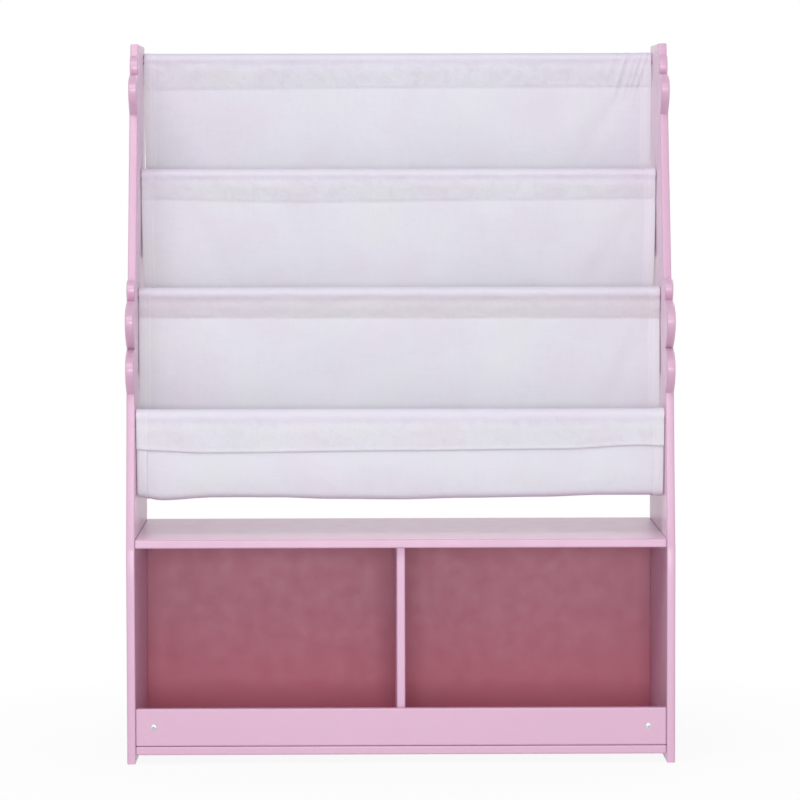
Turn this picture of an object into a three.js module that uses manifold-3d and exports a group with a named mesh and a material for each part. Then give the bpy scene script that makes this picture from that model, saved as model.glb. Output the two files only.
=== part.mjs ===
// A child's sling bookshelf: two scalloped side panels carry four rods with three canvas pockets between
// them, over a base with a shelf, a divider and two open compartments behind a low lip board.
// Millimetres, +Z up. The front faces -Y, and the origin is on the floor under the middle.
import * as THREE from "three";
import { mergeVertices } from "three/addons/utils/BufferGeometryUtils.js";
import Module from "manifold-3d";

const wasm = await Module();
wasm.setup();

// Driving sizes of the case
const overallWidth = 640;
const boardThickness = 10;
const edgeEasing = 1.5;
const shelfTopHeight = 262.5;
const toeHeight = 10.5;
const boardSetback = 1.5;
const lipHeight = 44;
const lipGap = 0.4;
const dividerSetback = 1;
const backThickness = 5;
const backInset = 4;
const grooveDepth = 4;
const seatClearance = 0.3;
const cutOverrun = 2;

// Driving sizes of the side panel's front edge, from its foot to its top: a drop or a rise is a height, and
// a set is how far the edge steps back. The creases lie between the lobes.
const baseEdgeDrop = 12.5;
const shoulderRise = 27.5;
const shoulderSet = 10;
const waistRise = 25.5;
const waistSet = 29;
const lowLobeRise = 52.5;
const lowLobeSet = 9;
const lowLobeReach = 31;
const middleLobeRise = 56;
const middleLobeSet = 8;
const middleLobeReach = 41.5;
const budRise = 24.5;
const budSet = 8;
const budReach = 11;
const slopeStep = 17;
const topLobeRise = 47.5;
const topLobeReach = 33;
const topBudRise = 23;
const topBudReach = 6;
const topStepRise = 14;
const topStepSet = 5;
const topEdgeLean = 4;
const topEdgeWidth = 132;
const lobeHalfTurn = Math.PI / 3;
const lobeSteps = 14;

// Driving sizes of the rods and the sling
const rodNames = ["rod_1_top", "rod_2_upper", "rod_3_lower", "rod_4_front"];
const rodRadius = 6;
const frontRodDepth = 36;
const rodStepDepth = 75.5;
const rodStepHeight = 140;
const topRodToBack = 25.5;
const topRodToEdge = 16.5;
const rodSides = 24;
const clothThickness = 1.2;
const clothSideClearance = 1.5;
const casingFit = 0.3;
const casingDrop = 31.5;
const topHemDrop = 35.5;
const flapDrop = 42.5;
const seamRise = 4;
const seamOverlap = 10;
const pocketSag = 99;
const slingClearance = 44;
const clothGap = 0.3;
const foldRise = 2.2;
const foldSway = 2.6;
const foldsAcross = 3;
const clothStations = 16;
const casingSteps = 8;
const hangSteps = 15;
const halvings = 50;

// Driving sizes of the fasteners
const screwHeadRadius = 4;
const screwHeadDepth = 2.4;
const screwShankRadius = 1.75;
const screwTipLength = 3;
const screwRecessWidth = 1;
const screwRecessSpan = 4.6;
const screwRecessDepth = 1.4;
const screwSides = 12;
const boardScrewLength = 38;
const cleatScrewLength = 26;
const screwDome = 0.8;
const domeShares = [0.7, 0.6];
const screwFromFront = 62;
const screwFromBack = 56;
const pinRadius = 3;
const pinLength = 18;
const pinSeatInShelf = 6;
const cleatWidth = 32;
const cleatDepth = 18;
const cleatHeight = 34;
const lipScrewInset = 21;

// Sizes that follow from those
const rodSteps = rodNames.length - 1;
const frontRodHeight = shelfTopHeight + slingClearance + pocketSag;
const overallDepth = frontRodDepth + rodSteps * rodStepDepth + topRodToBack;
const panelHeight = frontRodHeight + rodSteps * rodStepHeight + topRodToEdge;
const innerWidth = overallWidth - 2 * boardThickness;
const panelCentre = (overallWidth - boardThickness) / 2;
const bottomTopHeight = toeHeight + boardThickness;
const shelfUnderHeight = shelfTopHeight - boardThickness;
const shelfMiddle = shelfTopHeight - boardThickness / 2;
const bottomMiddle = toeHeight + boardThickness / 2;
const compartmentHeight = shelfUnderHeight - bottomTopHeight;
const backPanelHeight = compartmentHeight + 2 * (grooveDepth - seatClearance);
const backPanelWidth = innerWidth + 2 * (grooveDepth - seatClearance);
const backPanelDepth = overallDepth - backInset - backThickness / 2;
const dividerFrontDepth = boardSetback + boardThickness + dividerSetback;
const dividerBackDepth = overallDepth - backInset - backThickness - seatClearance;
const rods = rodNames.map((name, i) => ({
  name,
  y: place(frontRodDepth + (rodSteps - i) * rodStepDepth),
  z: frontRodHeight + (rodSteps - i) * rodStepHeight,
}));
const casingInner = rodRadius + casingFit;
const casingOuter = casingInner + clothThickness;
const clothWidth = innerWidth - 2 * clothSideClearance;

// A depth behind the front of the base as a place along Y
function place(depth) {
  return depth - overallDepth / 2;
}

// Paints and finishes
const paint = new THREE.MeshStandardMaterial({ color: 0xe9bfd8, roughness: 0.42, metalness: 0 });
const canvas = new THREE.MeshStandardMaterial({ color: 0xe9e6e8, roughness: 0.92, metalness: 0 });
const wood = new THREE.MeshStandardMaterial({ color: 0xd9b98a, roughness: 0.6, metalness: 0 });
const zinc = new THREE.MeshStandardMaterial({ color: 0xc3c6ca, roughness: 0.32, metalness: 0.9 });

const root = new THREE.Group();
const caseGroup = new THREE.Group();
const slingGroup = new THREE.Group();
const fastenerGroup = new THREE.Group();
root.add(caseGroup, slingGroup, fastenerGroup);

function addPiece(group, name, geometry, material, x = 0, y = 0, z = 0) {
  const mesh = new THREE.Mesh(geometry, material);
  mesh.name = name;
  mesh.position.set(x, y, z);
  group.add(mesh);
  return mesh;
}

// Joining and cutting closed geometries
function solidFrom(geometry) {
  const bare = geometry.clone();
  bare.deleteAttribute("normal");
  bare.deleteAttribute("uv");
  const merged = mergeVertices(bare);
  return new wasm.Manifold(
    new wasm.Mesh({
      numProp: 3,
      vertProperties: merged.attributes.position.array,
      triVerts: new Uint32Array(merged.index.array),
    }),
  );
}

function geometryFrom(solid) {
  const mesh = solid.getMesh();
  const geometry = new THREE.BufferGeometry();
  geometry.setAttribute("position", new THREE.BufferAttribute(mesh.vertProperties, 3));
  geometry.setIndex(new THREE.BufferAttribute(mesh.triVerts, 1));
  return geometry;
}

function cut(geometry, tools) {
  return geometryFrom(tools.reduce((left, tool) => left.subtract(solidFrom(tool)), solidFrom(geometry)));
}

const alongX = new THREE.Matrix4().makeBasis(
  new THREE.Vector3(0, 1, 0),
  new THREE.Vector3(0, 0, 1),
  new THREE.Vector3(1, 0, 0),
);

// A board's section with its four long edges eased, centred on its middle
function easedSection(width, height) {
  const easing = Math.min(edgeEasing, width / 3, height / 3);
  const x = width / 2;
  const y = height / 2;
  const section = new THREE.Shape();
  section.moveTo(-x + easing, -y);
  section.lineTo(x - easing, -y);
  section.absarc(x - easing, -y + easing, easing, -Math.PI / 2, 0);
  section.absarc(x - easing, y - easing, easing, 0, Math.PI / 2);
  section.absarc(-x + easing, y - easing, easing, Math.PI / 2, Math.PI);
  section.absarc(-x + easing, -y + easing, easing, Math.PI, 1.5 * Math.PI);
  return section;
}

function extruded(section, length) {
  const settings = { depth: length, bevelEnabled: false, curveSegments: 3 };
  return new THREE.ExtrudeGeometry(section, settings).translate(0, 0, -length / 2);
}

// A board that runs across the case, square at its ends
function crossBoard(depth, height) {
  return extruded(easedSection(depth, height), innerWidth).applyMatrix4(alongX);
}

function box(x, y, z, cx = 0, cy = 0, cz = 0) {
  return new THREE.BoxGeometry(x, y, z).translate(cx, cy, cz);
}

// Screws and pins
// The screw stands along Z with its head up and the top face of the head at zero.
function screwGeometry(length, dome = 0) {
  const radius = screwShankRadius;
  const [shoulderShare, riseShare] = domeShares;
  const shoulder = new THREE.Vector2(screwHeadRadius * shoulderShare, dome * riseShare);
  const profile = [
    new THREE.Vector2(0, -length),
    new THREE.Vector2(radius, -length + screwTipLength),
    new THREE.Vector2(radius, -screwHeadDepth),
    new THREE.Vector2(screwHeadRadius, 0),
    ...(dome > 0 ? [shoulder] : []),
    new THREE.Vector2(0, dome),
  ];
  const body = new THREE.LatheGeometry(profile, screwSides).rotateX(Math.PI / 2);
  const depth = screwRecessDepth + dome + cutOverrun;
  const middle = dome + cutOverrun - depth / 2;
  const slots = [
    box(screwRecessSpan, screwRecessWidth, depth, 0, 0, middle),
    box(screwRecessWidth, screwRecessSpan, depth, 0, 0, middle),
  ];
  return cut(body, slots);
}

// The hole that a countersunk screw needs, in the same place as the screw
function screwHole(length) {
  const gap = seatClearance;
  const radius = screwShankRadius + gap;
  const profile = [
    new THREE.Vector2(0, -length - gap),
    new THREE.Vector2(radius, -length - gap),
    new THREE.Vector2(radius, -screwHeadDepth),
    new THREE.Vector2(screwHeadRadius + gap, 0),
    new THREE.Vector2(screwHeadRadius + gap, cutOverrun),
    new THREE.Vector2(0, cutOverrun),
  ];
  return new THREE.LatheGeometry(profile, screwSides).rotateX(Math.PI / 2);
}

// Places that repeat: each screw through a side panel, with what it holds
const sideScrews = [];
for (const side of [-1, 1]) {
  const hand = side < 0 ? "left" : "right";
  rods.forEach((rod, i) => {
    const name = `rod_screw_${i + 1}_${hand}`;
    sideScrews.push({ name, side, y: rod.y, z: rod.z, length: boardScrewLength });
  });
  for (const [end, y] of [
    ["front", place(screwFromFront)],
    ["rear", place(overallDepth - screwFromBack)],
  ]) {
    for (const [board, z] of [
      ["shelf", shelfMiddle],
      ["bottom", bottomMiddle],
    ]) {
      sideScrews.push({ name: `${board}_screw_${end}_${hand}`, side, y, z, length: boardScrewLength });
    }
  }
}
const lipScrews = [-1, 1].map((side) => ({
  name: side < 0 ? "lip_screw_left" : "lip_screw_right",
  x: side * (innerWidth / 2 - lipScrewInset),
  y: place(boardSetback),
  z: bottomTopHeight + lipGap + lipHeight / 2,
}));
const cleatPlaces = [-1, 1].map((side) => ({
  side,
  x: side * (innerWidth - cleatWidth) / 2,
  y: place(boardSetback + boardThickness + cleatDepth / 2),
  z: bottomTopHeight + cleatHeight / 2,
}));
for (const cleat of cleatPlaces) {
  const hand = cleat.side < 0 ? "left" : "right";
  const screw = { name: `cleat_screw_${hand}`, side: cleat.side, y: cleat.y, z: cleat.z };
  sideScrews.push({ ...screw, length: cleatScrewLength, z: cleat.z - cleatHeight / 4 });
}
const dividerFixings = [
  ["front", place(screwFromFront)],
  ["rear", place(overallDepth - screwFromBack)],
];

// The hole of a side screw, seen from a piece whose own middle is at the place given
function sideHole(screw, x, y, z) {
  return screwHole(screw.length)
    .rotateY((screw.side * Math.PI) / 2)
    .translate((screw.side * overallWidth) / 2 - x, screw.y - y, screw.z - z);
}

function lipHole(screw, x, y, z) {
  return screwHole(cleatScrewLength)
    .rotateX(Math.PI / 2)
    .translate(screw.x - x, screw.y - y, screw.z - z);
}

// Side panels
// One lobe of the front edge: an elliptical arc between two creases. Its tip stands the given reach in front
// of the straight line that joins them.
function lobePoints(from, to, reach) {
  const chord = to.clone().sub(from);
  const forward = new THREE.Vector2(-chord.y, chord.x).normalize();
  const middle = from.clone().lerp(to, 1 / 2);
  const ends = Math.cos(lobeHalfTurn);
  return Array.from({ length: lobeSteps + 1 }, (_, i) => {
    const turn = lobeHalfTurn * ((2 * i) / lobeSteps - 1);
    const along = Math.sin(turn) / (2 * Math.sin(lobeHalfTurn));
    const bulge = (reach * (Math.cos(turn) - ends)) / (1 - ends);
    return middle.clone().addScaledVector(chord, along).addScaledVector(forward, bulge);
  });
}

function frontEdge() {
  const from = (point, set, rise) => new THREE.Vector2(point.x + set, point.y + rise);
  const foot = new THREE.Vector2(place(0), 0);
  const baseTop = from(foot, 0, shelfTopHeight - baseEdgeDrop);
  const shoulder = from(foot, shoulderSet, shelfTopHeight + shoulderRise);
  const waist = from(foot, waistSet, frontRodHeight + waistRise);
  const lowCrease = from(waist, lowLobeSet, lowLobeRise);
  const highCrease = from(lowCrease, middleLobeSet, middleLobeRise);
  const budTop = from(highCrease, budSet, budRise);
  const slopeFoot = from(budTop, slopeStep, 0);
  const topCorner = new THREE.Vector2(overallDepth / 2 - topEdgeWidth, panelHeight);
  const step = from(topCorner, -topEdgeLean - topStepSet, -topStepRise);
  const slope = step.clone().sub(slopeFoot);
  const slopeAt = (drop) => step.clone().addScaledVector(slope, -drop / slope.y);
  const budFoot = slopeAt(topBudRise);
  const lobeFoot = slopeAt(topBudRise + topLobeRise);
  return [
    foot,
    ...new THREE.QuadraticBezierCurve(baseTop, shoulder, waist).getPoints(lobeSteps / 2).slice(0, -1),
    ...lobePoints(waist, lowCrease, lowLobeReach).slice(0, -1),
    ...lobePoints(lowCrease, highCrease, middleLobeReach).slice(0, -1),
    ...lobePoints(highCrease, budTop, budReach),
    slopeFoot,
    ...lobePoints(lobeFoot, budFoot, topLobeReach).slice(0, -1),
    ...lobePoints(budFoot, step, topBudReach),
    from(step, topStepSet, 0),
    topCorner,
  ];
}

const panelMiddleHeight = panelHeight / 2;
function sidePanel(side) {
  const outline = new THREE.Shape([
    new THREE.Vector2(overallDepth / 2, 0),
    new THREE.Vector2(overallDepth / 2, panelHeight),
    ...frontEdge().reverse(),
  ]);
  const blank = new THREE.ExtrudeGeometry(outline, {
    depth: boardThickness - 2 * edgeEasing,
    bevelThickness: edgeEasing,
    bevelSize: edgeEasing,
    bevelOffset: -edgeEasing,
    bevelSegments: 2,
  })
    .translate(0, -panelMiddleHeight, edgeEasing - boardThickness / 2)
    .applyMatrix4(alongX);
  const x = side * panelCentre;
  const groove = box(
    grooveDepth + cutOverrun,
    backThickness + 2 * seatClearance,
    backPanelHeight + 2 * seatClearance,
    side * (grooveDepth / 2 - cutOverrun / 2 - boardThickness / 2),
    place(backPanelDepth),
    bottomTopHeight + compartmentHeight / 2 - panelMiddleHeight,
  );
  const holes = sideScrews
    .filter((screw) => screw.side === side)
    .map((screw) => sideHole(screw, x, 0, panelMiddleHeight));
  return cut(blank, [groove, ...holes]);
}

for (const side of [-1, 1]) {
  const name = side < 0 ? "side_panel_left" : "side_panel_right";
  addPiece(caseGroup, name, sidePanel(side), paint, side * panelCentre, 0, panelMiddleHeight);
}

// Shelf board and bottom board, grooved for the back panel and drilled at their ends
const boardDepth = overallDepth - boardSetback;
const boardMiddle = place(boardSetback + boardDepth / 2);

function pinHole(y, z, length) {
  const radius = pinRadius + seatClearance;
  return new THREE.CylinderGeometry(radius, radius, length, screwSides)
    .rotateX(Math.PI / 2)
    .translate(0, y, z);
}

// The groove is cut into the lower face of the shelf (face -1) or the upper face of the bottom board (face 1).
function boardGroove(face) {
  return box(
    innerWidth + 2 * cutOverrun,
    backThickness + 2 * seatClearance,
    grooveDepth + cutOverrun,
    0,
    place(backPanelDepth) - boardMiddle,
    face * (boardThickness / 2 - grooveDepth / 2 + cutOverrun / 2),
  );
}

function fixedBoard(z, prefix, face, extra) {
  const holes = sideScrews
    .filter((screw) => screw.name.startsWith(prefix))
    .map((screw) => sideHole(screw, 0, boardMiddle, z));
  return cut(crossBoard(boardDepth, boardThickness), [boardGroove(face), ...holes, ...extra]);
}

const pinMouths = dividerFixings.map(([, y]) =>
  pinHole(y - boardMiddle, (pinSeatInShelf + seatClearance - cutOverrun - boardThickness) / 2,
    pinSeatInShelf + seatClearance + cutOverrun),
);
const dividerScrewHoles = dividerFixings.map(([, y]) =>
  screwHole(boardScrewLength)
    .rotateX(Math.PI)
    .translate(0, y - boardMiddle, -boardThickness / 2),
);
const shelf = fixedBoard(shelfMiddle, "shelf_screw", -1, pinMouths);
const bottom = fixedBoard(bottomMiddle, "bottom_screw", 1, dividerScrewHoles);
addPiece(caseGroup, "shelf_board", shelf, paint, 0, boardMiddle, shelfMiddle);
addPiece(caseGroup, "bottom_board", bottom, paint, 0, boardMiddle, bottomMiddle);

// Lip board and the cleats behind its ends
const lipY = place(boardSetback + boardThickness / 2);
const lipZ = bottomTopHeight + lipGap + lipHeight / 2;
const lipHoles = lipScrews.map((screw) => lipHole(screw, 0, lipY, lipZ));
const lip = cut(crossBoard(boardThickness, lipHeight), lipHoles);
addPiece(caseGroup, "lip_board", lip, paint, 0, lipY, lipZ);

for (const cleat of cleatPlaces) {
  const hand = cleat.side < 0 ? "left" : "right";
  const sideScrew = sideScrews.find((screw) => screw.name === `cleat_screw_${hand}`);
  const lipScrew = lipScrews.find((screw) => screw.name === `lip_screw_${hand}`);
  const block = cut(box(cleatWidth, cleatDepth, cleatHeight), [
    sideHole(sideScrew, cleat.x, cleat.y, cleat.z),
    lipHole(lipScrew, cleat.x, cleat.y, cleat.z),
  ]);
  addPiece(caseGroup, `lip_cleat_${hand}`, block, paint, cleat.x, cleat.y, cleat.z);
}

// Centre divider, its front edges eased, standing on the bottom board under the shelf
const dividerDepth = dividerBackDepth - dividerFrontDepth;
const dividerY = place((dividerFrontDepth + dividerBackDepth) / 2);
const dividerZ = bottomTopHeight + compartmentHeight / 2;
const dividerCuts = dividerFixings.flatMap(([, y]) => {
  const pinInDivider = pinLength - pinSeatInShelf + seatClearance;
  return [
    pinHole(y - dividerY, (compartmentHeight - pinInDivider + cutOverrun) / 2, pinInDivider + cutOverrun),
    screwHole(boardScrewLength)
      .rotateX(Math.PI)
      .translate(0, y - dividerY, toeHeight - dividerZ),
  ];
});
const divider = cut(extruded(easedSection(boardThickness, dividerDepth), compartmentHeight), dividerCuts);
addPiece(caseGroup, "centre_divider", divider, paint, 0, dividerY, dividerZ);

// Back panel, slid into the grooves
const back = box(backPanelWidth, backThickness, backPanelHeight);
addPiece(caseGroup, "back_panel", back, paint, 0, place(backPanelDepth), dividerZ);

// Painted rods, with a pilot hole in each end
rods.forEach((rod, i) => {
  const bar = new THREE.CylinderGeometry(rodRadius, rodRadius, innerWidth, rodSides).rotateZ(Math.PI / 2);
  const pilots = sideScrews
    .filter((screw) => screw.name.startsWith(`rod_screw_${i + 1}_`))
    .map((screw) => sideHole(screw, 0, rod.y, rod.z));
  addPiece(slingGroup, rod.name, cut(bar, pilots), paint, 0, rod.y, rod.z);
});

// Sling
// The arc of a casing from its back tangent over the rod to its front tangent. The two tangents come from
// points that lie the given drop below the rod and the given offset behind and in front of it.
function casingArc(rod, radius, drop, offset) {
  const reach = Math.hypot(drop, offset);
  const spread = Math.acos(radius / reach);
  const lean = Math.atan2(offset, drop);
  const start = spread + lean - Math.PI / 2;
  const turn = 2 * (Math.PI - spread - lean);
  return Array.from({ length: casingSteps + 1 }, (_, i) => {
    const angle = start + (turn * i) / casingSteps;
    return new THREE.Vector2(rod.y + radius * Math.cos(angle), rod.z + radius * Math.sin(angle));
  });
}

// The tunnel that a casing leaves round its rod: a drop shape that closes at the seam, run clockwise
function casingTunnel(rod, drop) {
  const seam = new THREE.Vector2(rod.y, rod.z - drop + seamRise);
  return [seam, ...casingArc(rod, casingInner, drop - seamRise, 0)].reverse();
}

// The middle line of a hanging pocket is a chain's curve, z = low + a (cosh((y - y0) / a) - 1), through both
// ends. Its spread grows with a, so a is found by halving. Each point carries the upward normal of the curve
// and a weight that is nothing at the two seams and one halfway along the cloth.
function hangingLine(rear, front, low) {
  const span = rear.x - front.x;
  const reach = (a, end) => a * Math.acosh(1 + (end.y - low) / a);
  let narrow = 0;
  let wide = span;
  for (let i = 0; i < halvings; i++) {
    const a = (narrow + wide) / 2;
    if (reach(a, rear) + reach(a, front) < span) narrow = a;
    else wide = a;
  }
  const y0 = rear.x - reach(wide, rear);
  const slopeAt = (y) => Math.sinh((y - y0) / wide);
  const total = slopeAt(rear.x) - slopeAt(front.x);
  return Array.from({ length: hangSteps + 1 }, (_, i) => {
    const y = rear.x - (span * i) / hangSteps;
    const slope = slopeAt(y);
    return {
      at: new THREE.Vector2(y, low + wide * (Math.cosh((y - y0) / wide) - 1)),
      normal: new THREE.Vector2(-slope, 1).normalize(),
      weight: Math.sin((Math.PI * (slopeAt(rear.x) - slope)) / total),
    };
  });
}

// One pocket's cross-section at a share of the width: the outline, counter-clockwise, and its tunnels. The
// cloth starts in a casing over its rear rod, hangs down and comes up behind its front rod. There it is sewn
// behind the next casing, or on the last pocket goes over the rod and falls as a flap.
function pocketSection(index, share) {
  const rearRod = rods[index];
  const frontRod = rods[index + 1];
  const isLast = index === rods.length - 2;
  const t = clothThickness;
  const rearDrop = index === 0 ? topHemDrop : casingDrop;
  const frontDrop = isLast ? flapDrop : casingDrop;
  const wave = 2 * Math.PI * (foldsAcross * share + index / rods.length);
  const low = frontRod.z - pocketSag + t / 2 + foldRise * Math.sin(wave);
  const sway = foldSway * Math.cos(wave + share * Math.PI);

  const rearTop = new THREE.Vector2(rearRod.y - t / 2, rearRod.z - rearDrop);
  const hemCorner = new THREE.Vector2(frontRod.y + t, frontRod.z - frontDrop);
  const frontArc = casingArc(frontRod, casingOuter, frontDrop, t);
  const hemLine = frontArc[0].clone().sub(hemCorner).normalize();
  const backward = new THREE.Vector2(hemLine.y, -hemLine.x);
  const sewn = hemCorner.clone().addScaledVector(backward, clothGap + t / 2);
  const frontTop = isLast ? new THREE.Vector2(frontRod.y + t / 2, hemCorner.y) : sewn;

  const line = hangingLine(rearTop, frontTop, low);
  line[0].normal.set(-1, 0);
  line[line.length - 1].normal.copy(isLast ? new THREE.Vector2(1, 0) : backward);
  for (const point of line) point.at.x += sway * point.weight;
  const offset = (point, face) => point.at.clone().addScaledVector(point.normal, (face * t) / 2);
  const sideOf = (face) => line.map((point) => offset(point, face));
  const sewnTop = sewn.clone().addScaledVector(hemLine, seamOverlap);
  const frontEnd = isLast
    ? [...frontArc, new THREE.Vector2(frontRod.y - t, hemCorner.y)]
    : [1, -1].map((face) => sewnTop.clone().addScaledVector(backward, (face * t) / 2));

  return {
    outline: [
      new THREE.Vector2(rearRod.y + t, rearTop.y),
      ...casingArc(rearRod, casingOuter, rearDrop, t),
      ...sideOf(1),
      ...frontEnd,
      ...sideOf(-1).reverse(),
    ],
    tunnels: isLast
      ? [casingTunnel(rearRod, rearDrop), casingTunnel(frontRod, frontDrop)]
      : [casingTunnel(rearRod, rearDrop)],
  };
}

// A closed skin over sections that stand at even steps across the cloth, each with the same points
function loftAcross(sections, width) {
  const rings = sections.map(({ outline, tunnels }) => [outline, ...tunnels]);
  const ringSize = rings[0].reduce((sum, loop) => sum + loop.length, 0);
  const positions = [];
  rings.forEach((loops, k) => {
    const x = width * (k / (sections.length - 1) - 1 / 2);
    for (const point of loops.flat()) positions.push(x, point.x, point.y);
  });
  const index = [];
  for (let k = 0; k < sections.length - 1; k++) {
    let start = k * ringSize;
    for (const loop of rings[k]) {
      for (let i = 0; i < loop.length; i++) {
        const p = start + i;
        const q = start + ((i + 1) % loop.length);
        index.push(p, q, q + ringSize, p, q + ringSize, p + ringSize);
      }
      start += loop.length;
    }
  }
  for (const [k, facing] of [
    [0, -1],
    [sections.length - 1, 1],
  ]) {
    const points = rings[k].flat();
    const first = k * ringSize;
    for (const [a, b, c] of THREE.ShapeUtils.triangulateShape(rings[k][0], rings[k].slice(1))) {
      const area = points[b].clone().sub(points[a]).cross(points[c].clone().sub(points[a]));
      const [second, third] = area * facing > 0 ? [b, c] : [c, b];
      index.push(first + a, first + second, first + third);
    }
  }
  const geometry = new THREE.BufferGeometry();
  geometry.setAttribute("position", new THREE.Float32BufferAttribute(positions, 3));
  geometry.setIndex(index);
  return geometry;
}

["sling_pocket_top", "sling_pocket_middle", "sling_pocket_front"].forEach((name, index) => {
  const shares = Array.from({ length: clothStations + 1 }, (_, k) => k / clothStations);
  const sections = shares.map((share) => pocketSection(index, share));
  addPiece(slingGroup, name, loftAcross(sections, clothWidth), canvas);
});

// Fasteners
for (const screw of sideScrews) {
  const x = (screw.side * overallWidth) / 2;
  const piece = addPiece(fastenerGroup, screw.name, screwGeometry(screw.length), zinc, x, screw.y, screw.z);
  piece.rotation.y = (screw.side * Math.PI) / 2;
}
for (const screw of lipScrews) {
  const shape = screwGeometry(cleatScrewLength, screwDome);
  const piece = addPiece(fastenerGroup, screw.name, shape, zinc, screw.x, screw.y, screw.z);
  piece.rotation.x = Math.PI / 2;
}
for (const [end, y] of dividerFixings) {
  const screw = screwGeometry(boardScrewLength);
  const piece = addPiece(fastenerGroup, `divider_screw_${end}`, screw, zinc, 0, y, toeHeight);
  piece.rotation.x = Math.PI;
  const pin = new THREE.CylinderGeometry(pinRadius, pinRadius, pinLength, screwSides).rotateX(Math.PI / 2);
  const pinZ = shelfUnderHeight + pinSeatInShelf - pinLength / 2;
  addPiece(fastenerGroup, `divider_pin_${end}`, pin, wood, 0, y, pinZ);
}

export default root;
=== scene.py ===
"""A child's sling bookshelf in a plain pale studio. Two scalloped panels carry four rods with a canvas sling,
over a base with a shelf, a divider and two compartments behind a low lip.

Everything is in metres, +Z up, with the front facing -Y and the origin on the floor under the middle."""

import math

import bmesh
import bpy
import numpy as np
from mathutils import Matrix, Vector
from mathutils.geometry import delaunay_2d_cdt


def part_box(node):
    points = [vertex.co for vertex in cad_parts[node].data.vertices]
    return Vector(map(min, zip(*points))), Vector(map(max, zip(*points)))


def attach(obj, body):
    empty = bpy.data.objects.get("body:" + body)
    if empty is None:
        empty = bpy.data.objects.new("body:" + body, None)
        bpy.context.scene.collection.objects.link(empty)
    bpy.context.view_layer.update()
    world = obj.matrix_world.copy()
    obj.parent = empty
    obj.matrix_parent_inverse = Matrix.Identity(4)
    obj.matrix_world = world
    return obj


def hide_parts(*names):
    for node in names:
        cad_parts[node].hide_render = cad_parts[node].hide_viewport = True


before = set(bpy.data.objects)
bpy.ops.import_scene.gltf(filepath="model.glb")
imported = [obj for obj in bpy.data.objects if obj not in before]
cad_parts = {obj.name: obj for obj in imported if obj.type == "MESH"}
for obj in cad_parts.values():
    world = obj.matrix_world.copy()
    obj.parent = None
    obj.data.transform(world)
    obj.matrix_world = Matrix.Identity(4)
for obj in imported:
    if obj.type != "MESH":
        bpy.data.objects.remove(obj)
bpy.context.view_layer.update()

MM = 0.001

# The case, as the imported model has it
PANEL_LOW, PANEL_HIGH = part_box("side_panel_left")
SHELF_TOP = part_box("shelf_board")[1].z
HALF_WIDTH = -PANEL_LOW.x
HALF_INNER = -PANEL_HIGH.x
PANEL_THICKNESS = PANEL_HIGH.x - PANEL_LOW.x
FRONT = PANEL_LOW.y
BACK = PANEL_HIGH.y
PANEL_TOP = PANEL_HIGH.z

# The rods' places as (along Y, height), from the top one to the front one
ROD_NAMES = ("rod_1_top", "rod_2_upper", "rod_3_lower", "rod_4_front")
ROD_BOXES = [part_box(name) for name in ROD_NAMES]
RODS = [((low.y + high.y) / 2, (low.z + high.z) / 2) for low, high in ROD_BOXES]
ROD_RADIUS = 6 * MM

# The front edge of a side panel, from its foot to its top. A pair is a step (back, up), and a reach is how far
# a lobe or bud stands out.
BASE_EDGE_DROP = 12.5 * MM
SHOULDER = (10 * MM, 27.5 * MM)
WAIST = (29 * MM, 25.5 * MM)
LOW_LOBE = (9 * MM, 52.5 * MM)
MIDDLE_LOBE = (8 * MM, 56 * MM)
LOW_BUD = (8 * MM, 24.5 * MM)
LOBE_REACHES = (31 * MM, 41.5 * MM, 11 * MM)
SLOPE_STEP = 17 * MM
TOP_LOBE_RISE = 47.5 * MM
TOP_LOBE_REACH = 33 * MM
TOP_BUD_RISE = 23 * MM
TOP_BUD_REACH = 6 * MM
TOP_STEP = (5 * MM, 14 * MM)
TOP_EDGE_LEAN = 4 * MM
TOP_EDGE_WIDTH = 132 * MM
LOBE_HALF_TURN = math.pi / 3
LOBE_POINTS = 40

# Rounded edges, drawn in five steps, with a strip beside each that keeps the flat face flat to the light
EDGE_ROUND = 1.5 * MM
CLEAT_ROUND = 1.0 * MM
BACK_PANEL_ROUND = 0.5 * MM
QUARTER = np.linspace(0, math.pi / 2, 6)
FLAT_STRIP = 0.4 * MM
JOINT_GAP = 0.15 * MM


# Meshes


def grid_faces(rows, columns, ring=False, first=0):
    """Quads (i, j), (i+1, j), (i+1, j+1), (i, j+1) between neighbours of a grid, whose columns may close in a
    ring."""
    i, j = np.meshgrid(np.arange(rows - 1), np.arange(columns if ring else columns - 1), indexing="ij")
    across = (j + 1) % columns
    quads = [i * columns + j, (i + 1) * columns + j, (i + 1) * columns + across, i * columns + across]
    return (np.stack(quads, -1).reshape(-1, 4) + first).tolist()


def solid(name, points, faces, material, replaces=(), sharp=35.0):
    """A closed piece from points and faces: doubles merged and faces turned outwards."""
    mesh = bpy.data.meshes.new(name)
    mesh.from_pydata(np.asarray(points, float).reshape(-1, 3).tolist(), [], faces)
    work = bmesh.new()
    work.from_mesh(mesh)
    bmesh.ops.remove_doubles(work, verts=work.verts, dist=0.001 * MM)
    bmesh.ops.recalc_face_normals(work, faces=work.faces)
    work.to_mesh(mesh)
    work.free()
    return piece_of(name, mesh, material, replaces, sharp)


def placed(name, data):
    """A new object in the scene."""
    made = bpy.data.objects.new(name, data)
    bpy.context.scene.collection.objects.link(made)
    return made


def piece_of(name, mesh, material, replaces=(), sharp=35.0):
    """A piece with a mesh, smooth but for edges over so many degrees, riding on the body."""
    mesh.polygons.foreach_set("use_smooth", np.ones(len(mesh.polygons), bool))
    mesh.set_sharp_from_angle(angle=math.radians(sharp))
    mesh.materials.append(material)
    piece = placed(name, mesh)
    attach(piece, "root")
    if replaces:
        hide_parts(*replaces)
    return piece


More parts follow.
